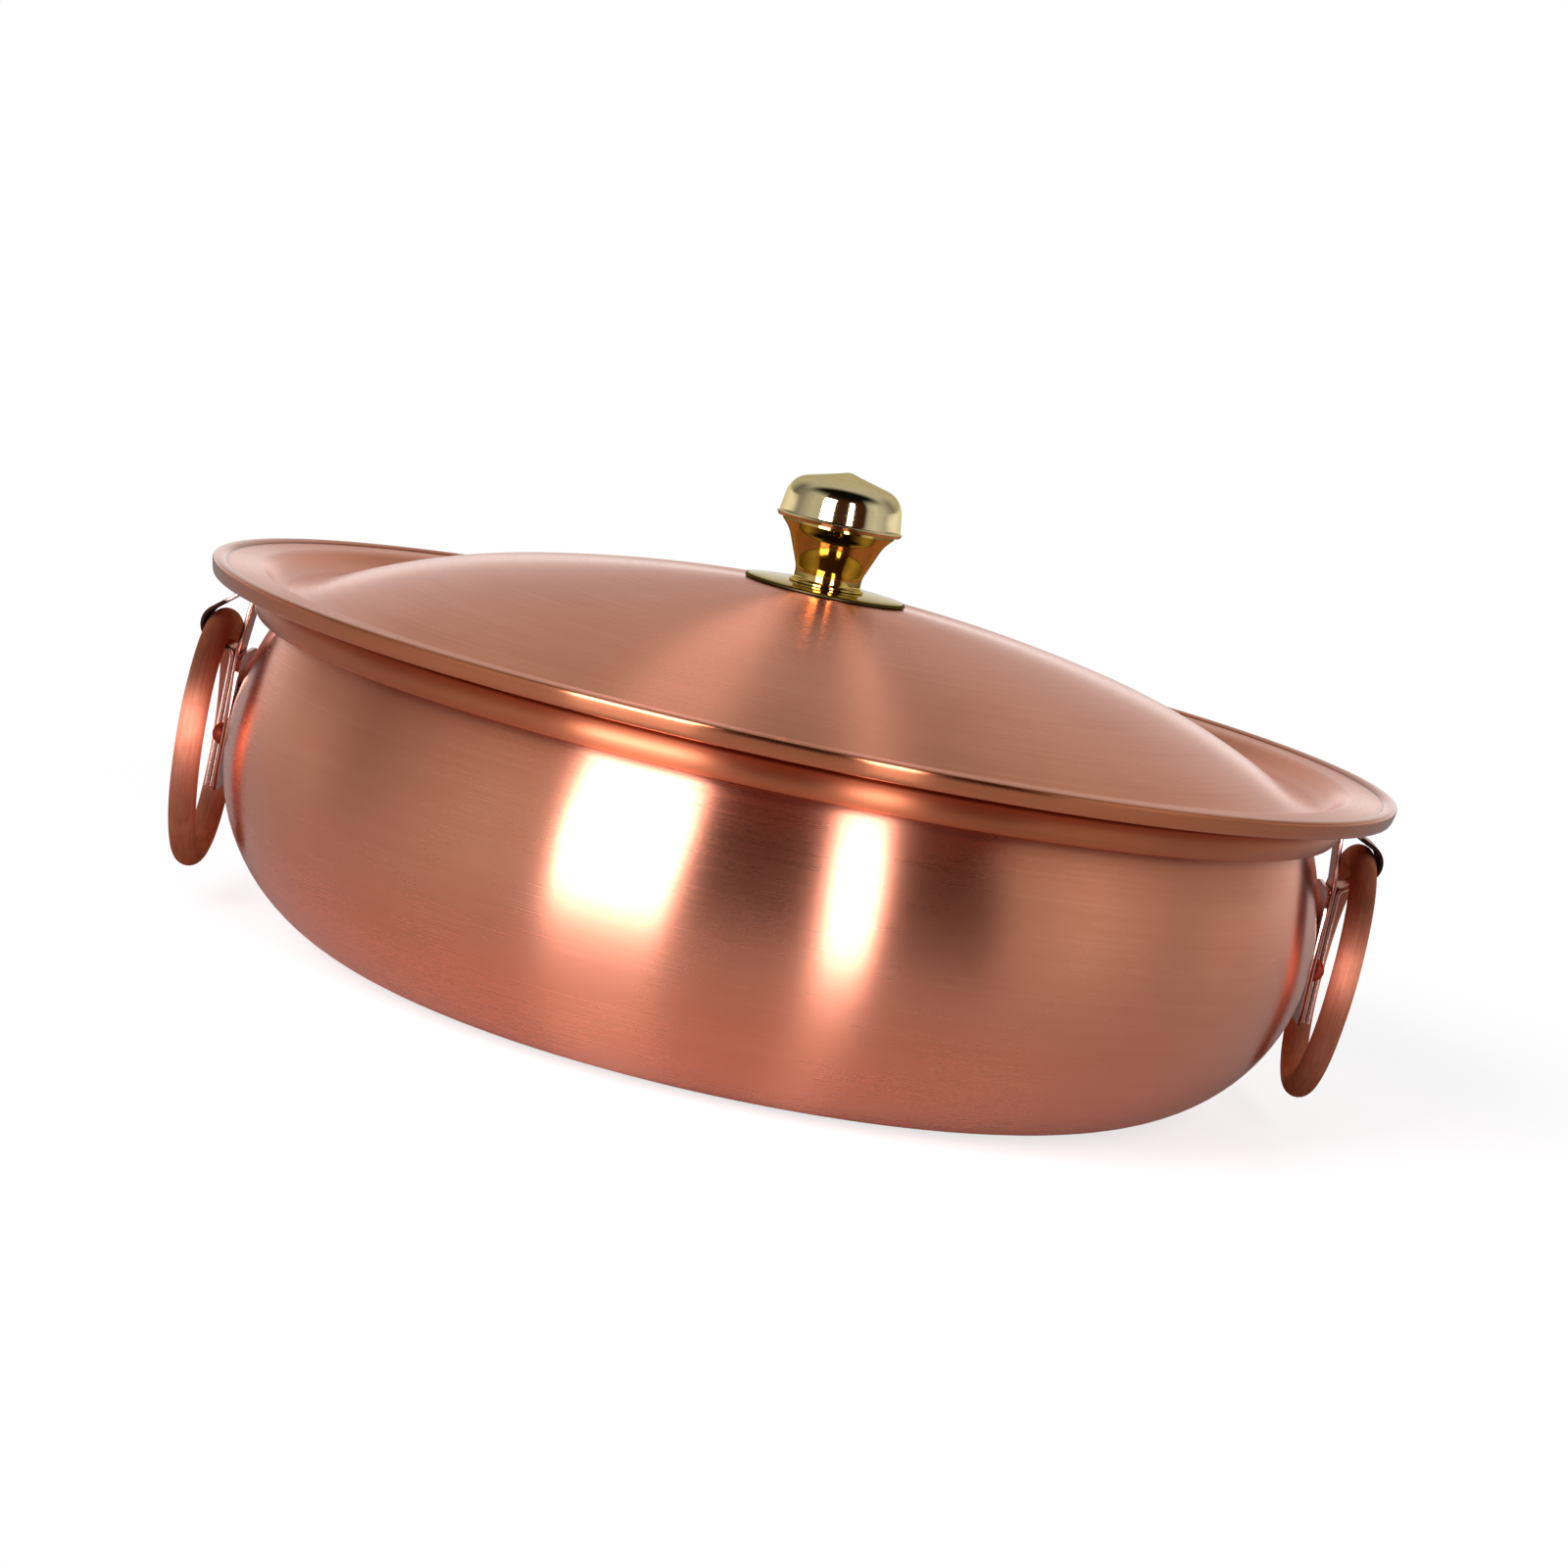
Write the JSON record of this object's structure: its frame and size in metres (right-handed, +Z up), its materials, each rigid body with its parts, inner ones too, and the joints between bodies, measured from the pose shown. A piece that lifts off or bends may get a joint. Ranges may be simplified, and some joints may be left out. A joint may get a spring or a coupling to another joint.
{
  "type": "cooking pot",
  "caption": "Wide shallow round-bellied copper pot with a domed, brimmed lid, a turned brass knob and drop-ring handles in riveted strap brackets.",
  "frame": {"origin": "centre of the flat base's underside, on the pot's axis", "axes": "+Z up the pot's axis, +X towards the right handle, +Y away from the viewer who has that handle on the right"},
  "size_m": [0.3008, 0.3, 0.1406],
  "materials": {
    "brushed_copper": "spun copper, brushed round the axis, clear satin; brass stands for copper",
    "ring_copper": "satin copper rod, a little mottled; brass stands for copper",
    "polished_copper": "mirror-polished copper strap and plate; brass stands for copper",
    "rivet_copper": "plain copper rivets; brass stands for copper",
    "polished_brass": "polished yellow brass",
    "pale_brass": "polished pale brass",
    "steel_lining": "brushed steel that meets the food",
    "steel_wire": "drawn wire",
    "steel_screw": "bright plated"
  },
  "bodies": {
    "pot": {"pot_shell": "brushed_copper", "pot_liner": "steel_lining", "rim_wire": "steel_wire", "left_ring_strap": "polished_copper", "left_bracket_plate": "polished_copper", "left_rivets": "rivet_copper", "left_rivet_burrs": "rivet_copper", "right_ring_strap": "polished_copper", "right_bracket_plate": "polished_copper", "right_rivets": "rivet_copper", "right_rivet_burrs": "rivet_copper"},
    "lid": {"lid_shell": "brushed_copper", "lid_hem_wire": "steel_wire", "knob_rose": "polished_brass", "knob_neck": "polished_brass", "knob_head": "pale_brass", "lid_washer": "steel_screw", "knob_screw": "steel_screw"},
    "left_ring": {"left_ring": "ring_copper"},
    "right_ring": {"right_ring": "ring_copper"}
  },
  "joints": [
    {"name": "lid_lift", "type": "slide", "parent": "pot", "child": "lid", "axis": [0, 0, 1], "range_m": [0, 0.08]},
    {"name": "left_ring_swing", "type": "hinge", "parent": "pot", "child": "left_ring", "pos_m": [-0.14534, 0, 0.0709], "axis": [0, 1, 0], "range_deg": [-8, 155]},
    {"name": "right_ring_swing", "type": "hinge", "parent": "pot", "child": "right_ring", "pos_m": [0.14534, 0, 0.0732], "axis": [0, -1, 0], "range_deg": [-8, 155]}
  ]
}
